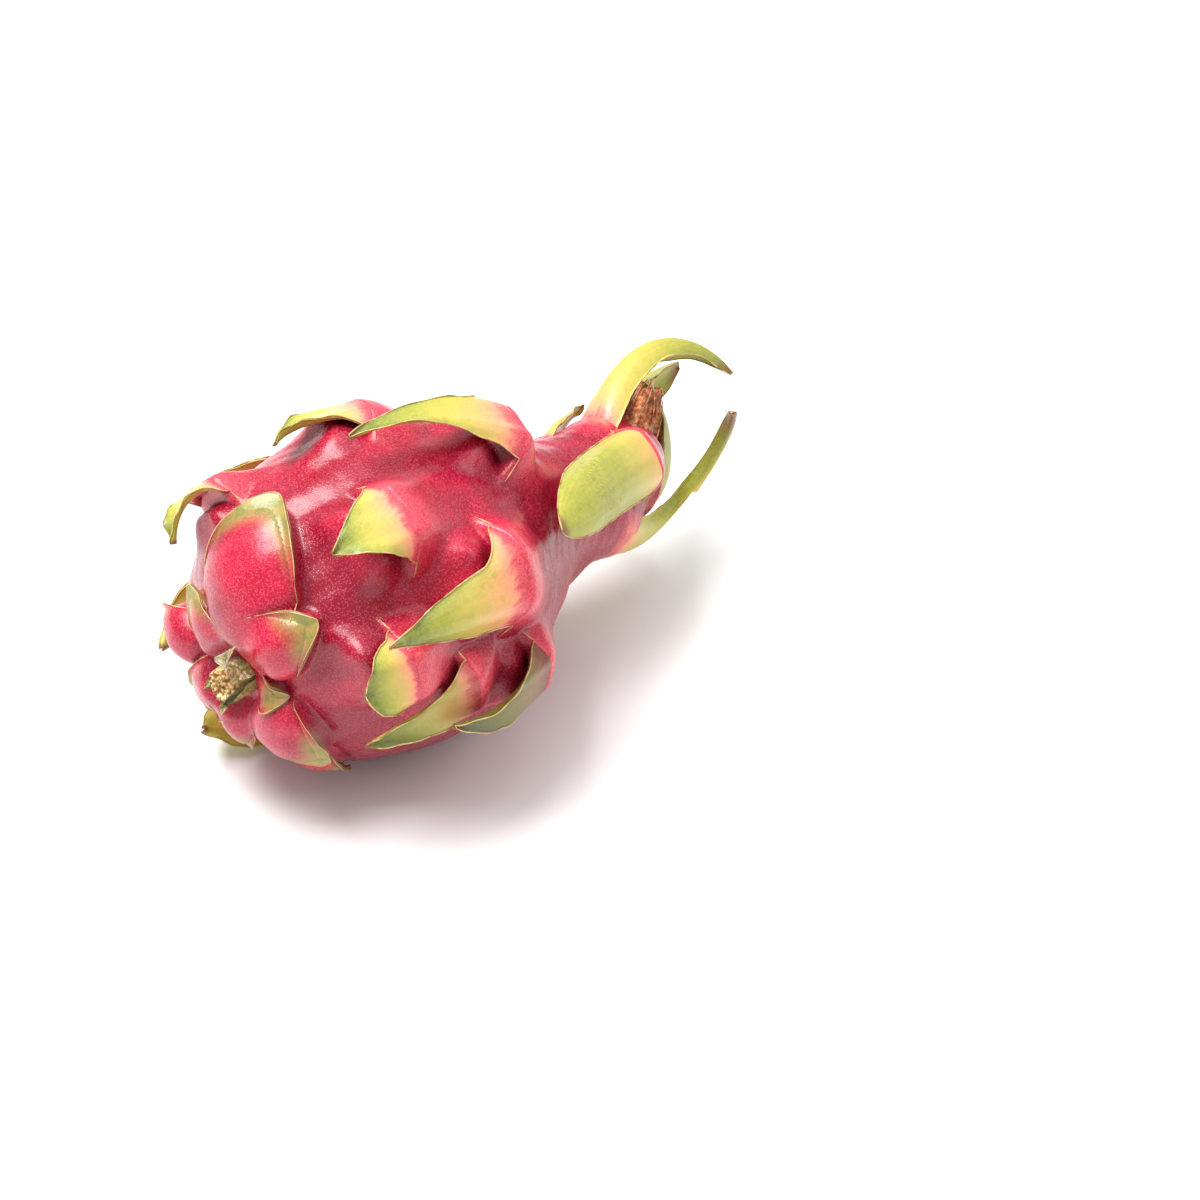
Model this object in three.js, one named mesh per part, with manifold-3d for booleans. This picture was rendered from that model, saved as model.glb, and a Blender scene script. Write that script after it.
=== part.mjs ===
// Dragon fruit (pitaya) lying on its side.
// Millimetres, +Z up, the table is z = 0. The long axis runs along +X, from the cut stem to the flower.
// A place on the skin is an x station and an angle around the axis: 0 is the top, 90 faces -Y.
import * as THREE from 'three';
import { mergeVertices } from 'three/addons/utils/BufferGeometryUtils.js';
import Module from 'manifold-3d';

const manifold3d = await Module();
manifold3d.setup();

const GAP = 0.3;            // clear space between touching sub-parts
const STEM_X = -54;         // stem pole
const FLOWER_X = 113;       // flower pole

// Body outline from the stem pole to the flower pole: [x, radius, axis y, axis z].
// The neck sags and swings a little.
const STATIONS = [
  [STEM_X, 0, -2.5, 47],
  [-53.4, 9, -2, 47],
  [-50, 21, -1, 48],
  [-43, 32.5, 0, 49],
  [-30, 42, 0, 48.5],
  [-14, 47, 0, 48],
  [2, 49, 0, 47.5],
  [20, 47, 0, 45.5],
  [38, 37.5, -1, 45],
  [54, 27.5, -2, 45],
  [68, 22, -3.5, 43.5],
  [82, 19, -4, 42.5],
  [94, 17, -4, 42.5],
  [104, 14.5, -3.5, 43.5],
  [110, 11, -3, 44.5],
  [FLOWER_X, 0, -3, 45],
];

// Each bract sits on a swelling of the skin. Columns:
// name; x and around: middle of its rim; heading: turn of its base towards larger angles;
// length and width of the blade; rim: width of the swelling's edge; swell: height of the swelling;
// crest: extra height of the rim;
// rise: angle of the blade above the skin at its root, past its bend and at its tip, where more than 90
// folds it back over its own swelling; sweep: sideways turn of its tip;
// kind: 'folded', 'scale' (a plump knob with a free edge) or 'tongue' (a long blade along the neck);
// blunt: 0 for a pointed tip, 1 for a round one.
const BRACTS = [
  ['bract_top_back', 12, -16, 20, 40, 20, 28, 5, 2, [80, 180, 190], -20, 'folded', 0],
  ['bract_left_curled', -30, -41, 0, 28, 13, 20, 5, 4, [40, 130, 230], 8, 'folded', 0],
  ['bract_shoulder', -34, 0, -10, 14.5, 28.8, 36, 10, 0, [0, 4, 10], -4, 'scale', 0],
  ['bract_centre', -13, 32, 5, 31, 20, 28, 9, 4, [80, 178, 188], -2, 'folded', 0],
  ['bract_side_large', 9, 63, 13, 58, 21, 33, 9, 3, [80, 178, 188], -4, 'folded', 0],
  ['bract_top_long', 38, 17, 26, 66, 16, 28, 8, 6, [80, 190, 214], -8, 'folded', 0],
  ['bract_side_low', -28, 77, 0, 22, 19, 25, 9, 4, [80, 174, 182], 0, 'folded', 0.4],
  ['bract_side_narrow', -11, 93, 0, 44, 14, 22, 6, 3, [80, 176, 186], -2, 'folded', 0],
  ['bract_under_dark', 14, 100, 0, 48, 17, 24, 6, 3, [80, 180, 196], 10, 'folded', 0],
  ['bract_neck_fold', 95, 48, 0, 76, 19, 22, 3, 6, [60, 168, 176], -4, 'folded', 0.6],
  ['bract_arch', 96, -25, 0, 78, 15, 22, 3, 0, [55, 30, -60], 4, 'tongue', 0],
  ['bract_tail', 82, 114, 42, 58, 15, 22, 3, 0, [14, 4, 0], -92, 'tongue', 0],
  ['bract_neck_back', 84, -64, 0, 30, 15, 18, 3, 0, [35, 20, 10], 0, 'tongue', 0],
  ['bract_crown_front', 104, 150, 4, 60, 22, 18, 2, 0, [12, -30, -104], 0, 'tongue', 0.3],
  ['bract_crown_far', 106, -70, 0, 50, 19, 18, 2, 0, [44, 30, 6], 0, 'tongue', 0.8],
  ['bract_crown_side', 98, -150, 0, 36, 17, 18, 2, 0, [40, 60, 90], 0, 'tongue', 0.2],
  ['scale_stem_left', -49.5, -45, 0, 12, 13.6, 17, 7, 0, [0, 4, 10], 0, 'scale', 0.2],
  ['scale_stem_outer', -42.5, -98, 0, 13.5, 13.6, 17, 9, 0, [0, 4, 10], 0, 'scale', 0.1],
  ['scale_stem_far', -49, -134, 0, 12.5, 14.4, 18, 8, 0, [0, 4, 10], 0, 'scale', 0.2],
  ['scale_stem_right', -44, 47, 0, 13, 15.2, 19, 10, 0, [0, 4, 10], 0, 'scale', 0],
  ['scale_stem_small', -52, 88, 0, 12.5, 7.2, 9, 4, 0, [0, 4, 10], 0, 'scale', 0.6],
  ['scale_stem_low', -49, 180, 0, 12, 12.8, 16, 8, 0, [0, 4, 10], 0, 'scale', 0.4],
  ['scale_under_large', -44.5, 127, 0, 13, 18.4, 23, 9, 0, [0, 4, 10], 0, 'scale', 0.5],
  ['scale_under_dark', -35, 150, 0, 13, 16, 20, 5, 0, [0, 4, 10], 0, 'scale', 0.2],
  ['bract_far_stem', -16, -112, 0, 34, 21, 28, 8, 4, [80, 178, 190], 6, 'folded', 0],
  ['bract_far_low', -26, -152, 0, 30, 20, 28, 5, 3, [80, 178, 188], -6, 'folded', 0.2],
  ['bract_far_top', 16, -84, 0, 44, 21, 30, 9, 4, [80, 180, 190], -8, 'folded', 0],
  ['bract_far_middle', 18, -118, 0, 47, 21, 30, 9, 4, [80, 180, 190], 6, 'folded', 0],
  ['bract_far_neck', 46, -60, 0, 51, 19, 28, 8, 3, [80, 190, 212], 4, 'folded', 0],
  ['bract_far_under', 50, -128, 0, 41, 19, 26, 5, 3, [80, 190, 208], 0, 'folded', 0],
  ['bract_neck_under', 66, 172, 0, 35, 17, 20, 3, 0, [30, 12, 8], 0, 'tongue', 0],
].map(([name, x, around, heading, length, width, rim, swell, crest, rise, sweep, kind, blunt]) => (
  { name, x, around, heading, length, width, rim, swell, crest, rise, sweep, kind, blunt }
));

// Dried sepals round the cut stalk
const SEPALS = [
  { name: 'stem_sepal_upper', around: 26, length: 26, width: 6, rise: [88, 50, -10] },
  { name: 'stem_sepal_left', around: -100, length: 11, width: 5, rise: [80, 85, 100] },
  { name: 'stem_sepal_right', around: 110, length: 13, width: 7, rise: [88, 92, 80] },
  { name: 'stem_sepal_lower', around: 178, length: 12, width: 5.5, rise: [85, 85, 60] },
];

const BODY_SEGMENTS = { around: 72, along: 54 };
const BRACT_SEGMENTS = { across: 4, along: 7 };
const BEND_LENGTH = { folded: 8, scale: 4, tongue: 24 };     // blade length taken up by its bend
const ARCH = { folded: 0.1, scale: 0.5, tongue: 0.1 };       // how far back a rim's ends lie, per rim width
const BLADE = { root: 4.0, tip: 1.4 };                       // blade thickness
const STUB = { radius: 5.2, length: 10 };
const REMNANT = { x: 104, y: -2.5, z: 43, radius: 9.5, length: 25, tilt: 62, ribs: 9, ribDepth: 0.9 };

const DEGREES = Math.PI / 180;
const { clamp, lerp, smoothstep } = THREE.MathUtils;

// Catmull-Rom through the stations at a fractional station number t: [x, radius, axis y, axis z]
function stationAt(t) {
  const last = STATIONS.length - 1;
  const i = Math.min(Math.floor(t), last - 1);
  const f = t - i;
  const at = (k, column) => STATIONS[clamp(k, 0, last)][column];
  return [0, 1, 2, 3].map((column) => {
    const [p0, p1, p2, p3] = [at(i - 1, column), at(i, column), at(i + 1, column), at(i + 2, column)];
    const v0 = (p2 - p0) / 2;
    const v1 = (p3 - p1) / 2;
    return (2 * p1 - 2 * p2 + v0 + v1) * f ** 3 + (3 * p2 - 3 * p1 - 2 * v0 - v1) * f ** 2 + v0 * f + p1;
  });
}

// Fine outline of the body, with the distance travelled along it from the stem pole
const OUTLINE_STEPS = 900;
const OUTLINE = [];
for (let k = 0; k <= OUTLINE_STEPS; k += 1) {
  const [x, radius, y, z] = stationAt((k / OUTLINE_STEPS) * (STATIONS.length - 1));
  const before = OUTLINE[k - 1];
  const travel = before ? before.travel + Math.hypot(x - before.x, radius - before.radius) : 0;
  OUTLINE.push({ x, radius: Math.max(radius, 0), y, z, travel });
}

// Section of the body at x: its outline entry and the outward normal there, as axial and radial parts
function sectionAt(x) {
  let low = 0;
  let high = OUTLINE_STEPS;
  while (high - low > 1) {
    const middle = Math.floor((low + high) / 2);
    if (OUTLINE[middle].x < x) low = middle;
    else high = middle;
  }
  const [a, b] = [OUTLINE[low], OUTLINE[high]];
  const f = clamp((x - a.x) / Math.max(b.x - a.x, 1e-9), 0, 1);
  const blend = (key) => lerp(a[key], b[key], f);
  const size = Math.hypot(b.x - a.x, b.radius - a.radius);
  return {
    radius: blend('radius'),
    y: blend('y'),
    z: blend('z'),
    travel: blend('travel'),
    axial: (a.radius - b.radius) / size,
    radial: (b.x - a.x) / size,
  };
}

// Point over the skin without swellings, `lift` off it
function skinPoint(x, around, lift = 0) {
  const { radius, y, z, axial, radial } = sectionAt(x);
  const reach = radius + lift * radial;
  return new THREE.Vector3(x + lift * axial, y - reach * Math.sin(around), z + reach * Math.cos(around));
}

// Right-handed frame on the skin: t towards the flower end, s around the axis, n outwards
function skinFrame(x, around, heading = 0) {
  const { axial, radial } = sectionAt(x);
  const t = new THREE.Vector3(radial, axial * Math.sin(around), -axial * Math.cos(around));
  const n = new THREE.Vector3(axial, -radial * Math.sin(around), radial * Math.cos(around));
  const s = n.clone().cross(t);
  t.applyAxisAngle(n, heading);
  s.applyAxisAngle(n, heading);
  return { t, s, n };
}

// Which way `s` runs: -1 where it points to smaller angles
const SIDE_SIGN = Math.sign(
  skinFrame(0, 0).s.dot(skinPoint(0, 0.1).sub(skinPoint(0, 0))),
);

// Height of one bract's swelling at a place on the skin
function swelling(bract, section, around) {
  const offset = around - bract.around * DEGREES;
  const turn = Math.atan2(Math.sin(offset), Math.cos(offset));
  const heading = bract.heading * DEGREES;
  const ahead = section.travel - sectionAt(bract.x).travel;
  const aside = turn * section.radius;
  const u = ahead * Math.cos(heading) + aside * Math.sin(heading);
  const v = aside * Math.cos(heading) - ahead * Math.sin(heading);
  const across = Math.abs(v) / (bract.rim / 2);
  const past = u + ARCH[bract.kind] * bract.rim * across ** 2;        // distance past the arched rim
  if (bract.kind === 'scale') {
    const dome = 1 - ((u + 0.42 * bract.rim) / (0.66 * bract.rim)) ** 2 - (0.94 * across) ** 2;
    return bract.swell * Math.sqrt(Math.max(dome, 0)) * (past > 0 ? Math.exp(-((past / 3.5) ** 2)) : 1);
  }
  const side = 1 - smoothstep(across, 0.35, 1.25);
  const reach = bract.rim * 0.5;
  const drop = Math.exp(-((past / 3.5) ** 2));
  const slope = Math.exp(-((past / reach) ** 2));
  const mound = 0.85 * Math.exp(-(((past + reach * 0.75) / (reach * 0.5)) ** 2));
  const behind = Math.max(drop, bract.kind === 'folded' ? mound : slope);
  const lip = past > 0 ? Math.exp(-((past / 7) ** 2)) : drop;
  return side * (bract.swell * (past > 0 ? slope : behind) + bract.crest * lip);
}

// Skin height over the smooth body: the highest swelling
function skinHeight(x, around) {
  const section = sectionAt(x);
  const fade = smoothstep(section.radius, 5, 12);
  return fade * Math.max(0, ...BRACTS.map((bract) => swelling(bract, section, around)));
}

function weld(geometry) {
  const bare = geometry.clone();
  bare.deleteAttribute('normal');
  bare.deleteAttribute('uv');
  return mergeVertices(bare, 1e-3);
}

function toManifold(geometry) {
  const welded = weld(geometry);
  return new manifold3d.Manifold(new manifold3d.Mesh({
    numProp: 3,
    vertProperties: Float32Array.from(welded.attributes.position.array),
    triVerts: Uint32Array.from(welded.index.array),
  }));
}

function toGeometry(solid) {
  const mesh = solid.getMesh();
  const geometry = new THREE.BufferGeometry();
  geometry.setAttribute('position', new THREE.BufferAttribute(mesh.vertProperties, 3));
  geometry.setIndex(new THREE.BufferAttribute(mesh.triVerts, 1));
  geometry.computeVertexNormals();
  return geometry;
}

function largestPiece(solid) {
  const pieces = solid.decompose();
  return pieces.reduce((best, piece) => (piece.volume() > best.volume() ? piece : best));
}

// Body of revolution, bent to its axis and swollen under each bract. `grow` thickens it all round.
function bodySolid(grow) {
  const last = STATIONS.length - 1;
  const outline = [];
  for (let i = 0; i <= BODY_SEGMENTS.along; i += 1) {
    const [x, radius] = stationAt((i / BODY_SEGMENTS.along) * last);
    outline.push(new THREE.Vector2(i % BODY_SEGMENTS.along === 0 ? 0 : radius, x));
  }
  const geometry = weld(new THREE.LatheGeometry(outline, BODY_SEGMENTS.around));
  const position = geometry.attributes.position;
  for (let i = 0; i < position.count; i += 1) {
    const x = position.getY(i);
    const atPole = x < STEM_X + 0.01 || x > FLOWER_X - 0.01;
    const around = Math.atan2(position.getX(i), position.getZ(i));
    const lift = grow + (atPole ? 0 : skinHeight(x, around));
    const point = atPole ? skinPoint(x, 0).setX(x + Math.sign(x) * grow) : skinPoint(x, around, lift);
    position.setXYZ(i, point.x, point.y, point.z);
  }
  return toManifold(geometry);
}

// Half-width of a blade at share s of its length
function bladeWidth(s, width, blunt = 0) {
  const point = (1 - s ** 1.8) ** lerp(0.9, 0.4, blunt);
  const belly = 1 + 0.25 * Math.sin(Math.PI * Math.min(1, s * 1.6)) * (1 - s);
  return Math.max((width / 2) * point * belly, 0.8);
}

// A blade: a box bent along its spine.
// `frame` is where it leaves the skin, `wrap` the radius that it is curved around.
function bladeGeometry(bract, origin, frame, wrap) {
  const { across, along } = BRACT_SEGMENTS;
  const geometry = weld(new THREE.BoxGeometry(2, 1, 1, across, 1, along));
  const [rootRise, bentRise, tipRise] = bract.rise;
  const bend = (BEND_LENGTH[bract.kind] || BEND_LENGTH.scale) / bract.length;
  const steps = 60;
  const spine = [];
  const point = new THREE.Vector2(0, 0);
  for (let k = 0; k <= steps; k += 1) {
    const s = k / steps;
    const rise = s < bend
      ? lerp(rootRise, bentRise, s / bend)
      : lerp(bentRise, tipRise, (s - bend) / (1 - bend));
    spine.push({ forward: point.x, up: point.y, rise: rise * DEGREES });
    point.x += (Math.cos(rise * DEGREES) * bract.length) / steps;
    point.y += (Math.sin(rise * DEGREES) * bract.length) / steps;
  }
  const position = geometry.attributes.position;
  for (let i = 0; i < position.count; i += 1) {
    const s = position.getZ(i) + 0.5;
    const j = position.getX(i);
    const layer = position.getY(i);
    const { forward, up, rise } = spine[Math.round(s * steps)];
    const half = bladeWidth(s, bract.width, bract.blunt);
    const swing = (bract.sweep || 0) * DEGREES * s * s;
    const t = frame.t.clone().applyAxisAngle(frame.n, swing * SIDE_SIGN);
    const side = frame.s.clone().applyAxisAngle(frame.n, swing * SIDE_SIGN);
    const normal = t.clone().multiplyScalar(-Math.sin(rise)).addScaledVector(frame.n, Math.cos(rise));
    const turn = (j * half) / (wrap + Math.max(up, 0));
    const thick = lerp(BLADE.root, BLADE.tip, Math.sqrt(s)) * lerp(1, 0.5, j * j);
    const sag = bract.width * 0.2 * j * j * (1 - s);
    const place = origin.clone()
      .addScaledVector(t, forward - sag)
      .addScaledVector(frame.n, up - (wrap + Math.max(up, 0)) * (1 - Math.cos(turn)))
      .addScaledVector(side, (wrap + Math.max(up, 0)) * Math.sin(turn))
      .addScaledVector(normal, layer * thick);
    position.setXYZ(i, place.x, place.y, Math.max(place.z, 0));
  }
  return geometry;
}

// Frame on the swollen skin just behind a scale's rim, so that its edge carries the knob's surface on
function knobFrame(bract, around) {
  const behind = sectionAt(bract.x).travel - 4;
  const { x } = OUTLINE.find((entry) => entry.travel >= behind);
  const start = skinPoint(x, around, skinHeight(x, around));
  const rim = skinPoint(bract.x, around, skinHeight(bract.x, around));
  const t = rim.clone().sub(start).normalize();
  const { s } = skinFrame(bract.x, around);
  return { origin: start, t, s, n: t.clone().cross(s).normalize() };
}

// Blades start a little under the skin: folded ones just in front of their rim, the others behind it
function bractSolid(bract) {
  const around = bract.around * DEGREES;
  const { radius } = sectionAt(bract.x);
  if (bract.kind === 'scale') {
    const { origin, t, s, n } = knobFrame(bract, around);
    return toManifold(bladeGeometry(bract, origin.addScaledVector(n, -1.2), { t, s, n }, radius * 0.6));
  }
  const frame = skinFrame(bract.x, around, bract.heading * DEGREES * SIDE_SIGN);
  const [sink, setBack] = bract.kind === 'folded' ? [4, 4] : [2.5, -7];
  const height = skinHeight(bract.x, around) - sink;
  const origin = skinPoint(bract.x, around, height).addScaledVector(frame.t, setBack);
  return toManifold(bladeGeometry(bract, origin, frame, radius));
}

const SKIN = new THREE.MeshStandardMaterial({ color: 0xd9405f, roughness: 0.45, metalness: 0 });
const BLADE_GREEN = new THREE.MeshStandardMaterial({ color: 0xb9bd4a, roughness: 0.5, metalness: 0 });
const SCALE_PINK = new THREE.MeshStandardMaterial({ color: 0xc9435c, roughness: 0.5, metalness: 0 });
const STALK = new THREE.MeshStandardMaterial({ color: 0xd9c58c, roughness: 0.8, metalness: 0 });
const DRY = new THREE.MeshStandardMaterial({ color: 0x8f6a45, roughness: 0.9, metalness: 0 });

const fruit = new THREE.Group();
fruit.name = 'dragon_fruit';

function add(name, solid, material) {
  const mesh = new THREE.Mesh(toGeometry(largestPiece(solid.simplify(0.1))), material.clone());
  mesh.name = name;
  fruit.add(mesh);
}

// The cut stalk: a short fluted peg with a slightly domed, ragged end, pointing along -X
function stubSolid(grow) {
  const { radius, length } = STUB;
  const reach = radius + grow;
  const end = length + grow;
  const outline = [[0, -4], [0.9, -4], [1, 0], [0.95, end * 0.6], [0.8, end * 0.97], [0, end]];
  const points = outline.map(([share, h]) => new THREE.Vector2(share * reach, h));
  const geometry = weld(new THREE.LatheGeometry(points, 15));
  const position = geometry.attributes.position;
  for (let i = 0; i < position.count; i += 1) {
    const around = Math.atan2(position.getX(i), position.getZ(i));
    const flute = 1 + 0.07 * Math.cos(around * 5);
    position.setX(i, position.getX(i) * flute);
    position.setZ(i, position.getZ(i) * flute);
  }
  geometry.rotateZ(Math.PI / 2);
  geometry.translate(STEM_X, STATIONS[0][2], STATIONS[0][3]);
  return toManifold(geometry);
}

// What is left of the dried flower: a ribbed tuft that leans up out of the end of the neck
function remnantSolid(grow) {
  const { x, y, z, radius, length, tilt, ribs, ribDepth } = REMNANT;
  const outline = [[0, 0], [0.8, 0], [1, 0.35], [0.95, 0.7], [0.6, 0.94], [0, 0.9]];
  const points = outline.map(([share, h]) => (
    new THREE.Vector2(share * (radius + grow), h * length + grow * Math.sign(h))
  ));
  const geometry = weld(new THREE.LatheGeometry(points, ribs * 3));
  const position = geometry.attributes.position;
  for (let i = 0; i < position.count; i += 1) {
    const around = Math.atan2(position.getX(i), position.getZ(i));
    const rib = 1 + (ribDepth / radius) * Math.cos(around * ribs);
    position.setX(i, position.getX(i) * rib);
    position.setZ(i, position.getZ(i) * rib);
  }
  geometry.rotateZ(-Math.PI / 2 + tilt * DEGREES);
  geometry.translate(x, y, z);
  return toManifold(geometry);
}

// A dried sepal grows from the skin beside the stalk and curls outwards
function sepalSolid(sepal) {
  const around = sepal.around * DEGREES;
  const x = STEM_X + 0.4;
  const frame = skinFrame(x + 1, around);
  const origin = skinPoint(x, around, 0);
  return toManifold(bladeGeometry(sepal, origin, frame, 9));
}

const table = manifold3d.Manifold.cube([600, 600, 100], true).translate([0, 0, -50]);
const body = bodySolid(0);
const bodyClear = bodySolid(GAP);
const stub = stubSolid(0).subtract(bodyClear);
const stubClear = stubSolid(GAP);
const remnant = remnantSolid(0).subtract(bodyClear);
const remnantClear = remnantSolid(GAP);

add('fruit_body', body.subtract(table), SKIN);
add('stem_stub', stub, STALK);
add('flower_remnant', remnant, DRY);
for (const sepal of SEPALS) {
  add(sepal.name, sepalSolid(sepal).subtract(bodyClear).subtract(stubClear), DRY);
}
for (const bract of BRACTS) {
  const material = bract.name.startsWith('scale') ? SCALE_PINK : BLADE_GREEN;
  add(bract.name, bractSolid(bract).subtract(bodyClear).subtract(remnantClear), material);
}

// The middle of the base is the origin
const box = new THREE.Box3().setFromObject(fruit);
const centre = box.getCenter(new THREE.Vector3());
fruit.position.set(-centre.x, -centre.y, -box.min.z);

export default fruit;
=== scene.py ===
import math
from collections import namedtuple

import bpy
import numpy as np
from mathutils import Matrix, Vector


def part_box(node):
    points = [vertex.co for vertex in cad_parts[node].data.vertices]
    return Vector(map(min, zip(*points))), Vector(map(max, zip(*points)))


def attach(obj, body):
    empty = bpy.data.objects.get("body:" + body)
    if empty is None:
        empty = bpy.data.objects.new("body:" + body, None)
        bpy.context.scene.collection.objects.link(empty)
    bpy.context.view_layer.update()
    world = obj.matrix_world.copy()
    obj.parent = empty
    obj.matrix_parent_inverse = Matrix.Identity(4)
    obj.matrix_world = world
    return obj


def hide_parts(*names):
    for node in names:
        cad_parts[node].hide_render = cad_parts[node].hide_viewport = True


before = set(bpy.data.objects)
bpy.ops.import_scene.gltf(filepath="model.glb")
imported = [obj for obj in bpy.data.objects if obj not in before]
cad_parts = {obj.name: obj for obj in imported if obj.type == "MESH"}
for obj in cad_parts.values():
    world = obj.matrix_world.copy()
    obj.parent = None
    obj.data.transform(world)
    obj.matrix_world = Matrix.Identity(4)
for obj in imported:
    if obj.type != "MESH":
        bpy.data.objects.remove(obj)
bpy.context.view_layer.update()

MM = 0.001
STEM_X = -54.0      # stem pole
FLOWER_X = 113.0    # flower pole

# Body outline: x, radius, axis y, axis z
STATIONS = np.array([
    (STEM_X, 0, -2.5, 47),
    (-53.4, 9, -2, 47),
    (-50, 21, -1, 48),
    (-43, 32.5, 0, 49),
    (-30, 42, 0, 48.5),
    (-14, 47, 0, 48),
    (2, 49, 0, 47.5),
    (20, 47, 0, 45.5),
    (38, 37.5, -1, 45),
    (54, 27.5, -2, 45),
    (68, 22, -3.5, 43.5),
    (82, 19, -4, 42.5),
    (94, 17, -4, 42.5),
    (104, 14.5, -3.5, 43.5),
    (110, 11, -3, 44.5),
    (FLOWER_X, 0, -3, 45),
])

# One row per bract, in mm and degrees.
# x, around: middle of its rim, with around counted from the top towards -Y. heading: turn of its base.
# length, width: of the blade. rim: width of the swelling's edge. swell: height of the swelling.
# crest: extra height of the rim.
# rise: angles of the blade above the skin, from rim to tip, where 180 lies back over the swelling.
# sweep: sideways turn of its tip. skew: sideways shift of the blade.
# cup: how far its edges bend away from the skin, or towards it on a folded blade.
# kind: "folded" lies back over its swelling, "scale" stays pink with a green edge, "tongue" is a long
# green blade. blunt: 0 for a pointed tip, 1 for a round one.
Bract = namedtuple("Bract", [
    "name", "x", "around", "heading", "length", "width", "rim", "swell", "crest",
    "rise", "sweep", "skew", "cup", "kind", "blunt",
])
BRACTS = [
    Bract("bract_top_back", 12, -16, 20, 34, 19, 28, 5, 2, (184, 180, 190), -20, 0, -1.6, "folded", 0.0),
    Bract("bract_left_curled", -30, -41, 0, 22, 12, 20, 5, 4, (150, 170, 230), 8, 0, -1.6, "folded", 0.0),
    Bract("bract_shoulder", -34, 0, -10, 13, 27, 36, 10, 0, (8, 10, 14), -4, 0, 0, "scale", 0.0),
    Bract("bract_centre", -13, 32, 5, 25, 19, 28, 9, 4, (182, 178, 188), -2, 1, -1.6, "folded", 0.0),
    Bract("bract_side_large", 9, 63, 13, 52, 20, 33, 9, 3, (182, 178, 188), -4, 5, 0.8, "folded", 0.0),
    Bract("bract_top_long", 38, 17, 26, 60, 15, 28, 8, 6, (180, 190, 214), -8, 3, -0.6, "folded", 0.0),
    Bract("bract_side_low", -28, 77, 0, 16, 18, 25, 9, 4, (180, 174, 182), 0, 0, -1.6, "folded", 0.4),
    Bract("bract_side_narrow", -11, 93, 0, 38, 13, 22, 6, 3, (180, 176, 186), -2, 0, -1.6, "folded", 0.0),
    Bract("bract_under_dark", 14, 100, 0, 42, 16, 24, 6, 3, (180, 180, 196), 10, 0, -1.6, "folded", 0.0),
    Bract("bract_neck_fold", 95, 48, 0, 70, 18, 22, 3, 6, (170, 165, 176), -4, 0, 0.8, "folded", 0.6),
    Bract("bract_arch", 96, -25, 0, 72, 14, 22, 3, 0, (55, 30, -60), 4, 0, -6, "tongue", 0.0),
    Bract("bract_tail", 82, 114, 42, 52, 14, 22, 3, 0, (14, 4, 0), -92, 0, -4, "tongue", 0.0),
    Bract("bract_neck_back", 84, -64, 0, 24, 14, 18, 3, 0, (35, 20, 10), 0, 0, -1.5, "tongue", 0.0),
    Bract("bract_crown_front", 104, 150, 4, 54, 22, 18, 2, 0, (12, -30, -104), 0, 0, -3, "tongue", 0.3),
    Bract("bract_crown_far", 106, -70, 0, 44, 19, 18, 2, 0, (44, 30, 6), 0, 0, -3, "tongue", 0.8),
    Bract("bract_crown_side", 98, -150, 0, 30, 17, 18, 2, 0, (40, 60, 90), 0, 0, -1.5, "tongue", 0.2),
    Bract("scale_stem_left", -49.5, -45, 0, 8, 19, 17, 7, 0, (16, 10, 20), 0, 0, 0, "scale", 0.2),
    Bract("scale_stem_outer", -42.5, -98, 0, 11, 19, 17, 9, 0, (26, 22, 20), 0, 0, 0, "scale", 0.1),
    Bract("scale_stem_far", -49, -134, 0, 9, 19, 18, 8, 0, (16, 10, 20), 0, 0, 0, "scale", 0.2),
    Bract("scale_stem_right", -44, 47, 0, 10, 21, 19, 10, 0, (14, 8, 25), 0, 0, 0, "scale", 0.0),
    Bract("scale_stem_small", -52, 88, 0, 9, 8, 9, 4, 0, (20, 10, 0), 0, 0, 0, "scale", 0.6),
    Bract("scale_stem_low", -49, 180, 0, 8, 16, 16, 8, 0, (20, 15, 5), 0, 0, 0, "scale", 0.4),
    Bract("scale_under_large", -44.5, 127, 0, 10, 24, 23, 9, 0, (16, 8, 0), 0, 0, 0, "scale", 0.5),
    Bract("scale_under_dark", -35, 150, 0, 10, 18, 20, 5, 0, (16, 8, 0), 0, 0, 0, "scale", 0.2),
    Bract("bract_far_stem", -16, -112, 0, 28, 20, 28, 8, 4, (182, 178, 190), 6, 0, -1.6, "folded", 0.0),
    Bract("bract_far_low", -26, -152, 0, 24, 19, 28, 5, 3, (182, 178, 188), -6, 0, -1.6, "folded", 0.2),
    Bract("bract_far_top", 16, -84, 0, 38, 20, 30, 9, 4, (182, 180, 190), -8, 0, -1.6, "folded", 0.0),
    Bract("bract_far_middle", 18, -118, 0, 41, 20, 30, 9, 4, (182, 180, 190), 6, 0, -1.6, "folded", 0.0),
    Bract("bract_far_neck", 46, -60, 0, 45, 18, 28, 8, 3, (180, 190, 212), 4, 0, -1.6, "folded", 0.0),
    Bract("bract_far_under", 50, -128, 0, 35, 18, 26, 5, 3, (180, 190, 208), 0, 0, -1.6, "folded", 0.0),
    Bract("bract_neck_under", 66, 172, 0, 29, 17, 20, 3, 0, (30, 12, 8), 0, 0, -1.5, "tongue", 0.0),
]

# How far some bracts are darkened to a deep olive: painted shade on the bracts that face down, where little
# light reaches
PAINTED_UNDERSIDE_SHADES = {
    "bract_under_dark": 0.75, "scale_under_dark": 0.7, "bract_side_narrow": 0.3, "bract_far_under": 0.4,
}
# How far back the ends of a rim lie, as a share of its width
ARCH = {"folded": 0.1, "scale": 0.5, "tongue": 0.1}

# ---------------------------------------------------------------- body surface

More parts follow.
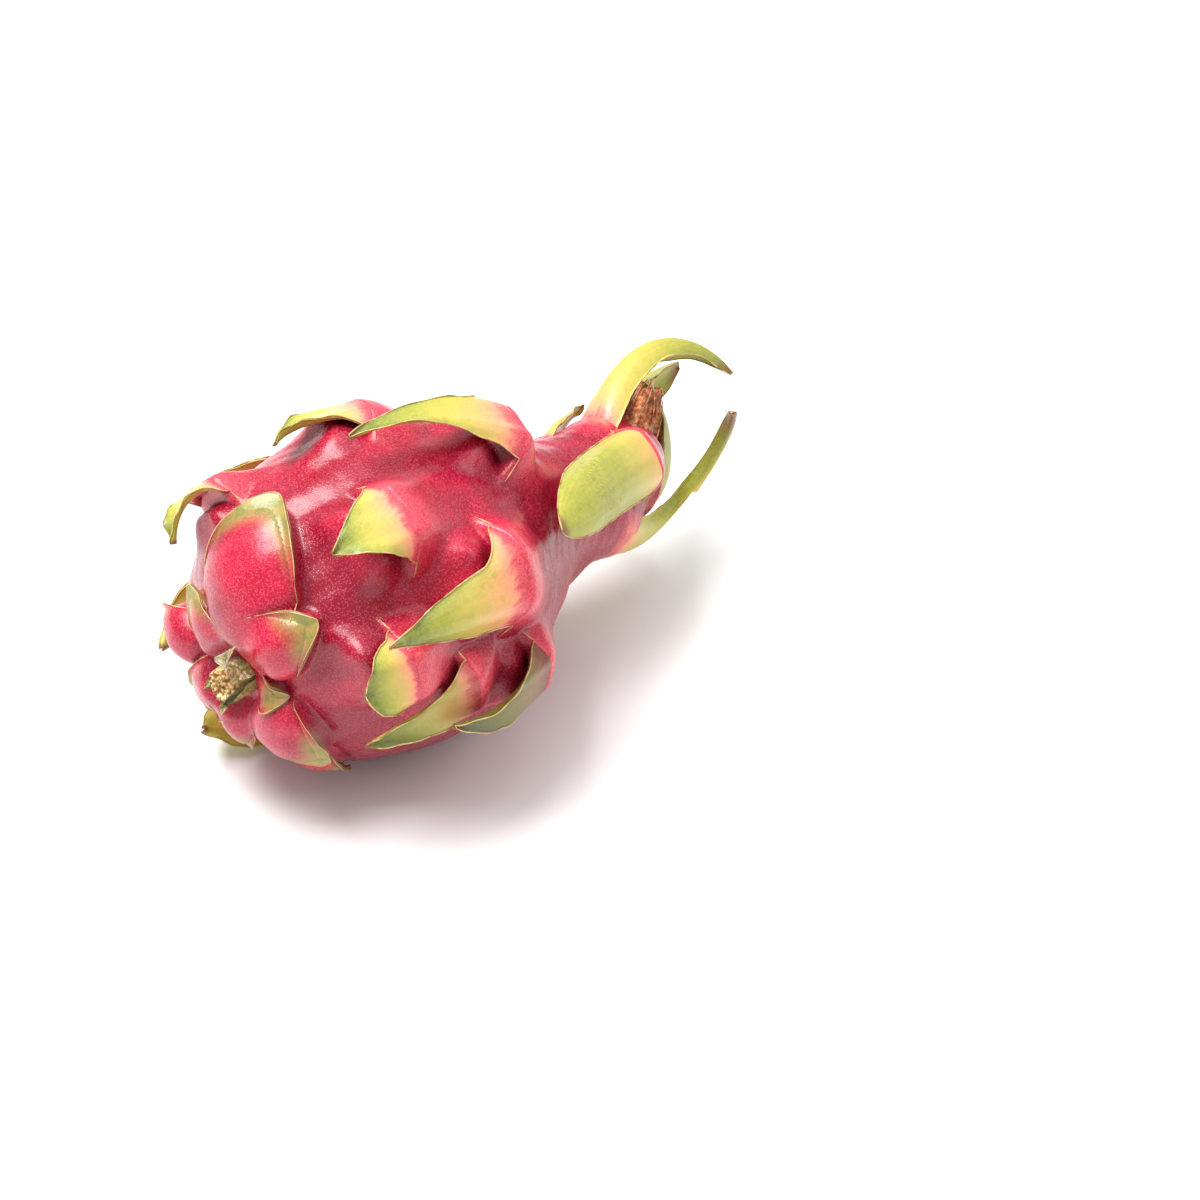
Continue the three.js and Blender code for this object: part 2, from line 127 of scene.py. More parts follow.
def catmull_rom(rows, count):
    """Points of a smooth curve through the rows, `count` to each span."""
    padded = np.vstack([rows[0], rows, rows[-1]])
    f = np.linspace(0, 1, count, endpoint=False)[:, None]
    spans = []
    for i in range(1, len(padded) - 2):
        p0, p1, p2, p3 = padded[i - 1:i + 3]
        v0, v1 = (p2 - p0) / 2, (p3 - p1) / 2
        cubic, square = 2 * p1 - 2 * p2 + v0 + v1, 3 * p2 - 3 * p1 - 2 * v0 - v1
        spans.append(cubic * f**3 + square * f**2 + v0 * f + p1)
    return np.vstack(spans + [rows[-1:]])


PROFILE = catmull_rom(STATIONS, 200)
STEPS = np.linalg.norm(np.diff(PROFILE[:, :2], axis=0), axis=1)
TRAVEL = np.concatenate([[0], np.cumsum(STEPS)])     # length along the outline from the stem pole
SLOPE = np.gradient(PROFILE[:, :2], TRAVEL, axis=0)  # unit steps along the outline, in x and radius


def section(x):
    """Radius and axis place of the body at x."""
    return [np.interp(x, PROFILE[:, 0], PROFILE[:, k]) for k in (1, 2, 3)]


def travel(x):
    return np.interp(x, PROFILE[:, 0], TRAVEL)


def x_after(distance):
    return np.interp(distance, TRAVEL, PROFILE[:, 0])


def outline_normal(x):
    """Outward normal of the outline at x, as its axial and radial parts."""
    axial, radial = -np.interp(x, PROFILE[:, 0], SLOPE[:, 1]), np.interp(x, PROFILE[:, 0], SLOPE[:, 0])
    size = np.hypot(axial, radial)
    return axial / size, radial / size


def skin_point(x, around, lift=0.0):
    """Point at height `lift` over the smooth body; `around` in radians."""
    radius, y, z = section(x)
    axial, radial = outline_normal(x)
    reach = radius + lift * radial
    places = (x + lift * axial, y - reach * np.sin(around), z + reach * np.cos(around))
    return np.stack(np.broadcast_arrays(*places), -1)


def unit(v):
    return v / np.linalg.norm(v, axis=-1, keepdims=True)


def turn_about(axis, v, angle):
    """v turned about a unit axis."""
    return v * np.cos(angle) + np.cross(axis, v) * np.sin(angle) + axis * (axis @ v) * (1 - np.cos(angle))


def skin_frame(x, around, heading):
    """t towards the flower end, s towards larger angles, n outwards."""
    axial, radial = outline_normal(x)
    n = np.array([axial, -radial * math.sin(around), radial * math.cos(around)])
    t = np.array([radial, axial * math.sin(around), -axial * math.cos(around)])
    s = np.cross(t, n)
    return turn_about(n, t, -heading), turn_about(n, s, -heading), n


def smoothstep(v, low, high):
    f = np.clip((v - low) / (high - low), 0, 1)
    return f * f * (3 - 2 * f)


def rim_coordinates(bract, x, around):
    """u along the bract's heading and v across it, from the middle of its rim, in mm."""
    turn = around - math.radians(bract.around)
    turn = np.arctan2(np.sin(turn), np.cos(turn))
    heading = math.radians(bract.heading)
    ahead, aside = travel(x) - travel(bract.x), turn * section(x)[0]
    u = ahead * math.cos(heading) + aside * math.sin(heading)
    v = aside * math.cos(heading) - ahead * math.sin(heading)
    return u, v


def rim_line(bract, v):
    """How far the arched rim lies behind its middle."""
    roundness = 1.5 if bract.kind == "scale" else 2.0
    return -ARCH[bract.kind] * bract.rim * np.abs(2 * v / bract.rim) ** roundness


def swelling(bract, x, around):
    """Height of one bract's swelling, distance past its rim, and share of its full width."""
    u, v = rim_coordinates(bract, x, around)
    across = np.abs(2 * v / bract.rim)
    past = u - rim_line(bract, v)
    reach = bract.rim * 0.5
    if bract.kind == "scale":
        side = 1 - smoothstep(across, 0.9, 1.3)
        dome = 1 - ((u + 0.42 * bract.rim) / (0.66 * bract.rim)) ** 2 - (0.94 * across) ** 2
        drop = np.where(past > 0, np.exp(-((past / 2.0) ** 2)), 1.0)
        return bract.swell * np.sqrt(np.maximum(dome, 0.0)) * drop, past, side
    side = 1 - smoothstep(across, 0.35, 1.25)
    slope, drop = np.exp(-((past / reach) ** 2)), np.exp(-((past / 2.0) ** 2))
    mound = slope
    if bract.kind == "folded":
        mound = 0.85 * np.exp(-(((past + reach * 0.75) / (reach * 0.5)) ** 2))
    height = bract.swell * np.where(past > 0, slope, np.maximum(drop, mound))
    height = height + bract.crest * np.where(past > 0, np.exp(-((past / 7.0) ** 2)), drop)
    return height * side, past, side


def undulation(p):
    """Slow unevenness of the flesh, within about half a millimetre."""
    x, y, z = p[..., 0], p[..., 1], p[..., 2]
    return (0.22 * np.sin(0.23 * x + 0.31 * y + 0.4) + 0.18 * np.sin(0.37 * z - 0.29 * x + 1.3)
            + 0.12 * np.sin(0.61 * y + 0.53 * z + 2.1) + 0.06 * np.sin(1.1 * x - 0.9 * z))


def skin_height(x, around):
    """Height of the skin over the smooth body, with the valleys between swellings slightly rounded."""
    power = 5.0
    radius = section(x)[0]
    total = sum(np.maximum(swelling(b, x, around)[0], 0) ** power for b in BRACTS) ** (1 / power)
    fade = smoothstep(radius, 5, 12)
    return fade * (total + undulation(skin_point(x, around)))

# ---------------------------------------------------------------- mesh making

STUB_RADIUS, STUB_LENGTH = 5.2, 10.0

# From the axes of the table above to the shared frame: the end of the stalk is the anchor
SHIFT = np.array([
    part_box("stem_stub")[0].x / MM - (STEM_X - STUB_LENGTH),
    sum(corner.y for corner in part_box("stem_stub")) / 2 / MM - STATIONS[0, 2],
    0.0,
])


def make_piece(name, points, faces, attributes, material, node, smooth=True):
    """A mesh object in the frame's coordinates that stands for a CAD node."""
    mesh = bpy.data.meshes.new(name)
    place = (np.asarray(points) + SHIFT) * MM
    place[:, 2] = np.maximum(place[:, 2], 0.0)
    mesh.from_pydata(place.tolist(), [], [tuple(int(i) for i in f) for f in faces])
    mesh.validate()
    for key, values in attributes.items():
        layer = mesh.attributes.new(key, "FLOAT", "POINT")
        layer.data.foreach_set("value", np.asarray(values, np.float32))
    mesh.polygons.foreach_set("use_smooth", [smooth] * len(mesh.polygons))
    piece = bpy.data.objects.new(name, mesh)
    bpy.context.scene.collection.objects.link(piece)
    mesh.materials.append(material)
    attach(piece, "root")
    if node:
        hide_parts(node)
    return piece


def grid_faces(rows, columns, closed=False, offset=0):
    """Quads of a grid of points, with the last column joined to the first if closed."""
    faces = []
    last = columns if closed else columns - 1
    for i in range(rows - 1):
        for k in range(last):
            a, b = i * columns + k, i * columns + (k + 1) % columns
            faces.append((offset + a, offset + b, offset + b + columns, offset + a + columns))
    return faces

# ---------------------------------------------------------------- materials

class Nodes:
    """Short names for building a node tree."""

    def __init__(self, name):
        self.material = bpy.data.materials.new(name)
        self.material.use_nodes = True
        self.tree = self.material.node_tree
        self.shader = self.tree.nodes["Principled BSDF"]

    def node(self, kind, inputs=None, **settings):
        made = self.tree.nodes.new(kind)
        for key, value in settings.items():
            setattr(made, key, value)
        for key, value in (inputs or {}).items():
            self.set(made.inputs[key], value)
        return made

    def set(self, socket, value):
        """Link a node's output to the socket, or give it a plain value."""
        if isinstance(value, bpy.types.NodeSocket):
            self.tree.links.new(value, socket)
        else:
            socket.default_value = value

    def math(self, operation, a, b=0.0, clamp=False):
        made = self.node("ShaderNodeMath", {0: a, 1: b}, operation=operation, use_clamp=clamp)
        return made.outputs[0]

    def attribute(self, name):
        return self.node("ShaderNodeAttribute", attribute_name=name).outputs["Fac"]

    def coordinates(self):
        return self.node("ShaderNodeTexCoord").outputs["Object"]

    def noise(self, size, detail=3.0, roughness=0.55, vector=None):
        """Noise whose lumps are about `size` metres across."""
        made = self.node("ShaderNodeTexNoise", {
            "Vector": vector or self.coordinates(),
            "Scale": 1 / size,
            "Detail": detail,
            "Roughness": roughness,
        })
        return made.outputs["Fac"]

    def spots(self, size, vector=None):
        """Distance to the nearest of scattered points about `size` metres apart."""
        made = self.node("ShaderNodeTexVoronoi", {
            "Vector": vector or self.coordinates(),
            "Scale": 1 / size,
        })
        return made.outputs["Distance"]

    def remap(self, value, low, high, new_low=0.0, new_high=1.0):
        made = self.node("ShaderNodeMapRange", {
            "Value": value, "From Min": low, "From Max": high, "To Min": new_low, "To Max": new_high,
        }, interpolation_type="SMOOTHSTEP")
        return made.outputs["Result"]

    def mix(self, factor, a, b, blend="MIX"):
        made = self.node("ShaderNodeMix", data_type="RGBA", blend_type=blend)
        self.set(made.inputs["Factor"], factor)
        self.set(made.inputs["A"], a)
        self.set(made.inputs["B"], b)
        return made.outputs["Result"]

    def ramp(self, value, stops):
        made = self.node("ShaderNodeValToRGB", {"Fac": value})
        elements = made.color_ramp.elements
        while len(elements) < len(stops):
            elements.new(1.0)
        for element, (place, colour) in zip(elements, stops):
            element.position = place
            element.color = colour
        return made.outputs["Color"]

    def bump(self, height, distance, strength=1.0, normal=None):
        inputs = {"Height": height, "Distance": distance, "Strength": strength}
        if normal:
            inputs["Normal"] = normal
        return self.node("ShaderNodeBump", inputs).outputs["Normal"]

    def finish(self, **inputs):
        for key, value in inputs.items():
            self.set(self.shader.inputs[key.replace("_", " ")], value)
        return self.material


def colour(red, green, blue):
    """Linear colour from 0-255 screen values."""
    def linear(v):
        v /= 255
        return v / 12.92 if v <= 0.04045 else ((v + 0.055) / 1.055) ** 2.4
    return (linear(red), linear(green), linear(blue), 1.0)


CRIMSON = colour(146, 4, 40)
ROSE = colour(212, 26, 66)
CORAL = colour(232, 88, 98)
SPECK = colour(236, 122, 136)
GREEN_STOPS = [
    (0.0, colour(238, 104, 110)),
    (0.18, colour(240, 150, 118)),
    (0.34, colour(218, 172, 98)),
    (0.52, colour(192, 176, 76)),
    (0.72, colour(158, 160, 58)),
    (0.9, colour(122, 132, 48)),
    (1.0, colour(84, 92, 38)),
]


def flesh_material(name):
    """Waxy skin that turns from crimson through peach to green where the attribute `green` rises."""
    m = Nodes(name)
    place = m.coordinates()
    broad = m.noise(0.022, 2.0, vector=place)
    grain = m.noise(0.0011, 2.0, 0.6, vector=place)
    cells = m.spots(0.0006, vector=place)
    crest = m.attribute("crest")
    # Painted shade: this mask darkens the skin towards crimson in the valleys between swellings, under
    # folded blades, past the rims of scales and on the inner faces of blades
    painted_shade = m.attribute("painted_shade")
    tone = m.math("ADD", m.remap(broad, 0.3, 0.7, 0.0, 0.75), m.math("MULTIPLY", crest, 0.5), clamp=True)
    # the painted shade pulls the tone back towards crimson
    tone = m.math("SUBTRACT", tone, m.math("MULTIPLY", painted_shade, 0.6), clamp=True)
    base = m.mix(tone, CRIMSON, ROSE)
    base = m.mix(m.math("MULTIPLY", crest, 0.65), base, CORAL)
    freckle = m.math("MULTIPLY", m.remap(cells, 0.5, 0.1), m.remap(grain, 0.3, 0.6, 0.5, 1.0))
    skin = m.mix(m.math("MULTIPLY", freckle, 0.42), base, SPECK)
    skin = m.mix(m.remap(cells, 0.45, 0.75, 0.0, 0.4), skin, colour(132, 4, 36))
    on_blade = {"X": m.attribute("across"), "Y": m.attribute("along")}
    blade = m.node("ShaderNodeCombineXYZ", on_blade).outputs[0]
    veins = m.node("ShaderNodeMapping", {"Vector": blade, "Scale": (9.0, 1.3, 1.0)}).outputs[0]
    patches = m.noise(0.004, 4.0, 0.65, vector=place)
    streaks = m.math("MULTIPLY", m.math("ADD", patches, m.noise(1.0, 4.0, 0.6, vector=veins)), 0.5)
    amount = m.attribute("green")
    uneven = m.math("MULTIPLY", m.remap(streaks, 0.25, 0.75, -0.09, 0.09), m.remap(amount, 0.0, 0.15))
    green = m.math("ADD", amount, uneven, clamp=True)
    leaf = m.ramp(green, GREEN_STOPS)
    leaf = m.mix(m.remap(grain, 0.4, 0.7, 0.0, 0.14), leaf, colour(226, 208, 130))
    blemish = m.remap(m.noise(0.0035, 3.0, vector=place), 0.62, 0.72, 0.0, 0.25)
    leaf = m.mix(blemish, leaf, colour(150, 120, 60))
    shown = m.mix(m.remap(green, 0.02, 0.2), skin, leaf)
    sage = m.mix(m.remap(patches, 0.35, 0.65), colour(164, 158, 84), colour(122, 130, 62))
    olive = m.math("MULTIPLY", m.attribute("olive"), m.remap(patches, 0.2, 0.6, 0.6, 0.95))
    shown = m.mix(olive, shown, sage)
    # Painted shade: bracts that face down are darkened towards a deep olive
    shown = m.mix(m.attribute("painted_underside_shade"), shown, colour(66, 68, 30))
    shown = m.mix(m.attribute("dry"), shown, colour(128, 92, 52))
    bumps = m.math("MULTIPLY", m.remap(cells, 0.5, 0.0), 0.4)
    height = m.math("ADD", m.math("MULTIPLY", grain, 0.6), bumps)
    normal = m.bump(m.noise(0.006, 3.0, vector=place), 0.0006, 0.35)
    normal = m.bump(height, 0.00016, 0.5, normal)
    wander = m.math("ADD", m.attribute("along"), m.remap(patches, 0.0, 1.0, 0.0, 0.1))
    pleats = m.math("SINE", m.math("MULTIPLY", wander, 190.0))
    normal = m.bump(m.math("MULTIPLY", pleats, m.attribute("pleats")), 0.0002, 0.6, normal)
    rough = m.math("ADD", m.remap(grain, 0.3, 0.7, 0.26, 0.4), m.math("MULTIPLY", green, 0.14))
    m.set(m.shader.inputs["Coat Normal"], normal)
    return m.finish(Base_Color=shown, Roughness=rough, Normal=normal, Subsurface_Weight=0.06,
                    Subsurface_Scale=0.003, Coat_Weight=0.3, Coat_Roughness=0.2,
                    Specular_IOR_Level=0.35)


def margin_material():
    """Thin papery edge of bracts and scales."""
    m = Nodes("margin")
    place = m.coordinates()
    tone = m.noise(0.006, 4.0, vector=place)
    shown = m.ramp(tone, [
        (0.3, colour(120, 84, 44)),
        (0.45, colour(186, 152, 88)),
        (0.6, colour(222, 194, 136)),
        (0.75, colour(150, 140, 66)),
    ])
    normal = m.bump(m.noise(0.0008, 3.0, vector=place), 0.0003, 0.6)
    return m.finish(Base_Color=shown, Roughness=0.6, Normal=normal)


FLESH = flesh_material("flesh")
MARGIN = margin_material()

# ---------------------------------------------------------------- skin of the body

SKIN_ROWS, SKIN_COLUMNS = 248, 400


def build_skin():
    """The body: rings at even steps along the outline, closed by a point at each pole."""
    x = x_after(np.linspace(0, TRAVEL[-1], SKIN_ROWS + 2)[1:-1])[:, None]
    around = np.linspace(0, 2 * math.pi, SKIN_COLUMNS, endpoint=False)[None, :]
    x, around = np.broadcast_arrays(x, around)
    points = skin_point(x, around, skin_height(x, around)).reshape(-1, 3)
    crest, green, olive = [np.zeros(x.shape) for _ in range(3)]
    # Painted shade, darker in the low places between swellings
    painted_shade = 0.55 * (1 - smoothstep(skin_height(x, around), 0.0, 4.5))
    for bract in BRACTS:
        _, past, side = swelling(bract, x, around)
        across = np.abs(2 * rim_coordinates(bract, x, around)[1] / bract.rim)
        if bract.kind == "folded":
            crest = np.maximum(crest, side * np.exp(-((np.maximum(past, 0) / 9) ** 2)) * (past > -2))
            # painted shade in the band that the folded blade lies back over
            painted_shade = np.maximum(painted_shade, side * np.exp(-(((past + 6) / 4.5) ** 2)))
        elif bract.kind == "scale":
            # painted shade in the crevice under the scale's overhanging edge
            painted_shade = np.maximum(painted_shade, 0.9 * side * np.exp(-(((past - 3) / 3) ** 2)))
            olive = np.maximum(olive, scale_olive(past, across) * (1 - smoothstep(past, 0.5, 2.0)))
        else:
            green = np.maximum(green, 0.12 * side * np.exp(-((past / 6) ** 2)))
    poles = np.array([skin_point(STEM_X, 0.0), skin_point(FLOWER_X, 0.0)])
    count = len(points)
    faces = grid_faces(SKIN_ROWS, SKIN_COLUMNS, closed=True)
    top = (SKIN_ROWS - 1) * SKIN_COLUMNS
    for k in range(SKIN_COLUMNS):
        after = (k + 1) % SKIN_COLUMNS
        faces.append((count, after, k))
        faces.append((count + 1, top + k, top + after))
    pad = [0.0, 0.0]
    attributes = {
        "crest": np.append(crest.ravel(), pad),
        "painted_shade": np.append(painted_shade.ravel(), pad),
        "green": np.append(green.ravel(), pad),
        "olive": np.append(olive.ravel(), pad),
        "dry": np.zeros(count + 2),
    }
    return make_piece("skin", np.vstack([points, poles]), faces, attributes, FLESH, "fruit_body")

# ---------------------------------------------------------------- bracts

ROOT_ROWS, BLADE_ROWS, CAP_ROWS, BLADE_COLUMNS = 10, 60, 16, 33
ROOT_LENGTH = 7.0     # length of blade buried in the skin behind its rim
CAP_ROOT = 9.0        # the same for a scale
UNDER_SKIN = 0.15     # depth of that root under the skin


def spine(bract, s):
    """Forward and up distances along the blade, by stepping along its rise angles."""
    fine = np.linspace(0, 1, 400)
    start, middle, end = [math.radians(a) for a in bract.rise]
    rise = np.interp(fine, [0, 0.3, 1], [start, middle, end])
    step = bract.length / (len(fine) - 1)
    forward = np.concatenate([[0], np.cumsum(np.cos(rise[:-1]) * step)])
    up = np.concatenate([[0], np.cumsum(np.sin(rise[:-1]) * step)])
    return np.interp(s, fine, forward), np.interp(s, fine, up), np.interp(s, fine, rise)


# How green some blades already are at their root
GREEN_ROOT = {
    "bract_neck_fold": 0.34, "bract_tail": 0.44, "bract_crown_front": 0.55, "bract_crown_far": 0.4,
}


def half_width(bract, s):
    """Half the blade's width: a flare into the rim, a slight waist, then a point or a round end."""
    ahead = np.clip(s, 0, 1)
    point = (1 - ahead ** (1.45 + 2.5 * bract.blunt)) ** (1.05 - 0.6 * bract.blunt)
    flare = 0.5 * max(bract.rim - bract.width, 0) / bract.width * np.exp(-((ahead / 0.16) ** 2))
    return bract.width / 2 * (point + flare) + 0.25


def rim_point(bract, v, past=0.0):
    """Point of the skin at v across the bract and `past` beyond its rim."""
    heading = math.radians(bract.heading)
    u = rim_line(bract, v) + past
    ahead = u * math.cos(heading) - v * math.sin(heading)
    aside = u * math.sin(heading) + v * math.cos(heading)
    x = x_after(np.clip(travel(bract.x) + ahead, 0.6, TRAVEL[-1] - 0.6))
    around = math.radians(bract.around) + aside / np.maximum(section(x)[0], 6)
    return skin_point(x, around, skin_height(x, around))


def buried(past, length):
    """Depth of a root under the skin: it comes up gradually towards the rim."""
    return UNDER_SKIN + 0.9 * (past / length) ** 1.5


def blade_surface(bract):
    """Outer surface of a blade: rows from the buried root to the tip, columns across."""
    t, _, n = skin_frame(bract.x, math.radians(bract.around), math.radians(bract.heading))
    j = np.linspace(-1, 1, BLADE_COLUMNS)
    phase = bract.around * 0.37 + bract.x * 0.11
    lean = 0.6 * math.sin(phase * 1.7)
    behind = 1.0 if bract.kind == "folded" else -1.0
    past = np.linspace(ROOT_LENGTH, 0.3, ROOT_ROWS)[:, None]
    root = rim_point(bract, j * half_width(bract, 0.0), behind * past)
    root = root - n * buried(past, ROOT_LENGTH)[..., None]
    s = np.linspace(0, 1, BLADE_ROWS)[:, None] ** 0.9
    v = j * half_width(bract, s) * (1 + 0.12 * lean * np.sign(j) * np.sin(math.pi * s))
    v = v + bract.skew * smoothstep(s, 0.0, 0.3)
    forward, up, rise = spine(bract, s)
    wave = 0.6 * np.sin(9 * s + phase + 2 * j) * s * j * j + 0.4 * np.sin(23 * s + 2 * phase) * s * j**4
    curl = (bract.cup + lean * j) * j * j * np.sin(math.pi * np.minimum(s * 0.8 + 0.1, 1))
    ahead = turn_about(n, t, -np.radians(bract.sweep) * s[..., None] ** 2)
    outward = n * np.cos(rise)[..., None] - ahead * np.sin(rise)[..., None]
    blade = rim_point(bract, v) + ahead * forward[..., None] + n * (up - UNDER_SKIN)[..., None]
    blade = blade + outward * (wave + curl)[..., None]
    return np.vstack([root, blade]), np.append(-past[:, 0] / bract.length, s[:, 0]), j


def cap_surface(bract):
    """Outer surface of a scale's edge: it continues the swelling's surface a little past the rim."""
    _, _, n = skin_frame(bract.x, math.radians(bract.around), math.radians(bract.heading))
    j = np.linspace(-1, 1, BLADE_COLUMNS)
    v = j * bract.rim / 2
    past = np.linspace(CAP_ROOT, 0.2, ROOT_ROWS)[:, None]
    root = rim_point(bract, v, -past) - n * buried(past, CAP_ROOT)[..., None]
    rim = rim_point(bract, v, -0.2)
    ahead = unit(rim - rim_point(bract, v, -3.0))
    phase = bract.around * 0.37 + bract.x * 0.11
    overhang = 0.36 * bract.length * (1 - np.abs(j) ** (2.0 + bract.blunt)) + 0.8
    overhang = overhang * (1 + 0.12 * np.sin(7 * j + phase))
    start, _, end = [math.radians(a) for a in bract.rise]
    s = np.linspace(0, 1, CAP_ROWS)[1:, None]
    lift = 0.7 * overhang * (math.sin(start) * s + (math.sin(end) - math.sin(start)) * s * s / 2)
    wave = 0.35 * np.sin(5 * j + phase + 3 * s) * s
    cap = rim + ahead * (overhang * s)[..., None] + n * (lift + wave - UNDER_SKIN)[..., None]
    return np.vstack([root, cap]), np.append(-past[:, 0] / CAP_ROOT, s[:, 0]), j


def blade_thickness(bract, along, j):
    root = 3.2 if bract.kind != "scale" else 2.6
    body = 0.9 + (root - 0.9) * (1 - np.clip(along, 0, 1)) ** 1.5
    return body[:, None] * (1 - 0.75 * np.abs(j[None, :]) ** 4)


def surface_normals(surface, outward):
    across = np.gradient(surface, axis=1)
    ahead = np.gradient(surface, axis=0)
    normals = unit(np.cross(across, ahead) + 1e-9)
    if (normals[0].mean(0) @ outward) < 0:
        normals = -normals
    return normals


def scale_olive(past, across):
    """Olive tint at a scale's rim: deep at its middle, gone at its sides."""
    middle = np.maximum(1 - across**2, 0)
    return smoothstep(middle, 0.3, 0.95) * smoothstep(past, -1.0 - 6.0 * middle**1.5, 0.8)


def green_amount(bract, along, j):
    """How far the blade's colour has gone from skin pink to green, outer face."""
    edge = np.abs(j[None, :]) ** 3
    s = along[:, None]
    if bract.kind == "folded":
        start = GREEN_ROOT.get(bract.name, 0.06)
        green = np.clip(start + 1.0 * s + 0.22 * edge * smoothstep(s, 0.0, 0.3), 0, 0.97 - 0.8 * start)
        return green * smoothstep(s, -0.12, 0.2 - 0.5 * start)
    if bract.kind == "tongue":
        start = GREEN_ROOT.get(bract.name, 0.34)
        return np.clip(start + 0.5 * s + 0.1 * edge, 0, 0.9) * smoothstep(s, -0.1, 0.2)
    return 0.0 * s + 0.0 * edge


def bead(path, radius, sides=6):
    """A thin closed tube along a path."""
    path = np.asarray(path)
    ahead = unit(np.gradient(path, axis=0) + 1e-9)
    reference = np.array([0.31, 0.42, 0.85])
    side = unit(np.cross(ahead, reference))
    up = np.cross(side, ahead)
    turns = np.linspace(0, 2 * math.pi, sides, endpoint=False)
    ring = path[:, None, :] + radius[:, None, None] * (
        side[:, None, :] * np.cos(turns)[None, :, None] + up[:, None, :] * np.sin(turns)[None, :, None])
    points = ring.reshape(-1, 3)
    faces = grid_faces(len(path), sides, closed=True)
    faces.append(tuple(range(sides))[::-1])
    faces.append(tuple((len(path) - 1) * sides + k for k in range(sides)))
    return points, faces


def margin_path(bract, surface):
    """Rim of the skin on one side, the blade's edge to its tip and back, then the rim on the other side."""
    start = bract.rim / 2 if bract.kind == "scale" else half_width(bract, 0.0)
    spare = 0.6 if bract.kind == "scale" else max(bract.rim * 0.54 - start, 0.5)
    reach = start + spare * np.linspace(1.0, 0.0, 14)[:-1]
    middle = np.array([bract.x, *section(bract.x)[1:]])
    lift = unit(rim_point(bract, np.array([0.0]))[0] - middle) * 0.15
    left, right = rim_point(bract, -reach) + lift, rim_point(bract, reach[::-1]) + lift
    if bract.kind == "scale":
        return np.vstack([left, surface[-1], right])
    blade = surface[ROOT_ROWS:]
    return np.vstack([left, blade[:, 0], blade[::-1, -1], right])


def sheet_faces(rows, columns):
    """Faces of a closed sheet: two grids of points, one after the other, joined round their border."""
    count = rows * columns
    faces = grid_faces(rows, columns)
    faces += [face[::-1] for face in grid_faces(rows, columns, offset=count)]
    border = [(i, 0) for i in range(rows)]
    border += [(rows - 1, k) for k in range(1, columns)]
    border += [(i, columns - 1) for i in range(rows - 2, -1, -1)]
    border += [(0, k) for k in range(columns - 2, 0, -1)]
    loop = [i * columns + k for i, k in border]
    faces += [(a, a + count, b + count, b) for a, b in zip(loop, loop[1:] + loop[:1])]
    return faces


def blade_solid(bract, surface, along, j):
    """Closed blade under its outer surface, thinned and rounded towards its edges."""
    _, _, n = skin_frame(bract.x, math.radians(bract.around), math.radians(bract.heading))
    normals = surface_normals(surface, n)
    thick = blade_thickness(bract, along, j)[..., None]
    round_edge = 0.35 * thick * (np.abs(j[None, :, None]) ** 6)
    outer = surface - normals * round_edge
    inner = surface - normals * (thick + round_edge * 0.2)
    points = np.vstack([outer.reshape(-1, 3), inner.reshape(-1, 3)])
    return points, sheet_faces(*surface.shape[:2])


def blade_colouring(bract, along, j):
    """What the flesh material reads at each point: the outer face's values, then the inner face's."""
    ahead, aside = np.broadcast_arrays(along[:, None], j[None, :])
    green = green_amount(bract, along, j)
    olive = np.zeros(green.shape)
    if bract.kind == "scale":
        past = np.where(ahead < 0, ahead * CAP_ROOT, ahead * 3)
        middle = smoothstep(1 - np.abs(aside), 0.1, 0.6)
        edge = 0.7 * middle * smoothstep(ahead, 0.5, 1.0)
        olive = np.maximum(scale_olive(past, np.abs(aside)), edge)
    tongue = bract.kind == "tongue"
    under = green * (0.92 if tongue else 0.75) * smoothstep(np.abs(aside) + ahead, 0.35, 1.1)
    crest = 0.8 * np.exp(-((np.maximum(ahead, 0) / 0.25) ** 2))
    dry = smoothstep(ahead, 0.86 if tongue else 0.93, 0.98)
    pleats = np.exp(-(((ahead - 0.55) / 0.1) ** 2)) * (bract.name == "bract_neck_fold")
    faces = {
        "along": (ahead + abs(bract.around), ahead + abs(bract.around)),
        "across": (aside, aside),
        "pleats": (pleats, pleats),
        "green": (green, under),
        "olive": (olive, olive),
        # painted shade on the bracts that face down, the same on both faces
        "painted_underside_shade": (np.full(green.shape, PAINTED_UNDERSIDE_SHADES.get(bract.name, 0.0)),) * 2,
        "crest": (crest, 0 * crest),
        # painted shade on the inner face, under the blade
        "painted_shade": (0 * green, 0.7 + 0 * green),
        "dry": (dry, dry),
    }
    return {key: np.concatenate([outer.ravel(), inner.ravel()]) for key, (outer, inner) in faces.items()}


def build_margin(bract, surface):
    """The papery bead along a bract's edge: uneven, and thinner at both ends."""
    path = margin_path(bract, surface)
    places = np.arange(len(path))
    radius = 0.13 if bract.kind == "scale" else 0.19
    radius = radius + 0.07 * np.sin(places * 0.9 + bract.x) * np.sin(places * 0.37)
    radius *= np.minimum(1, 0.25 + np.minimum(places, places[::-1]) / 8)
    points, faces = bead(path, radius)
    make_piece(bract.name + "_margin", points, faces, {}, MARGIN, None)


def build_bract(bract):
    surface, along, j = cap_surface(bract) if bract.kind == "scale" else blade_surface(bract)
    points, faces = blade_solid(bract, surface, along, j)
    attributes = blade_colouring(bract, along, j)
    make_piece(bract.name + "_leaf", points, faces, attributes, FLESH, bract.name)
    build_margin(bract, surface)

# ---------------------------------------------------------------- cut stalk and sepals

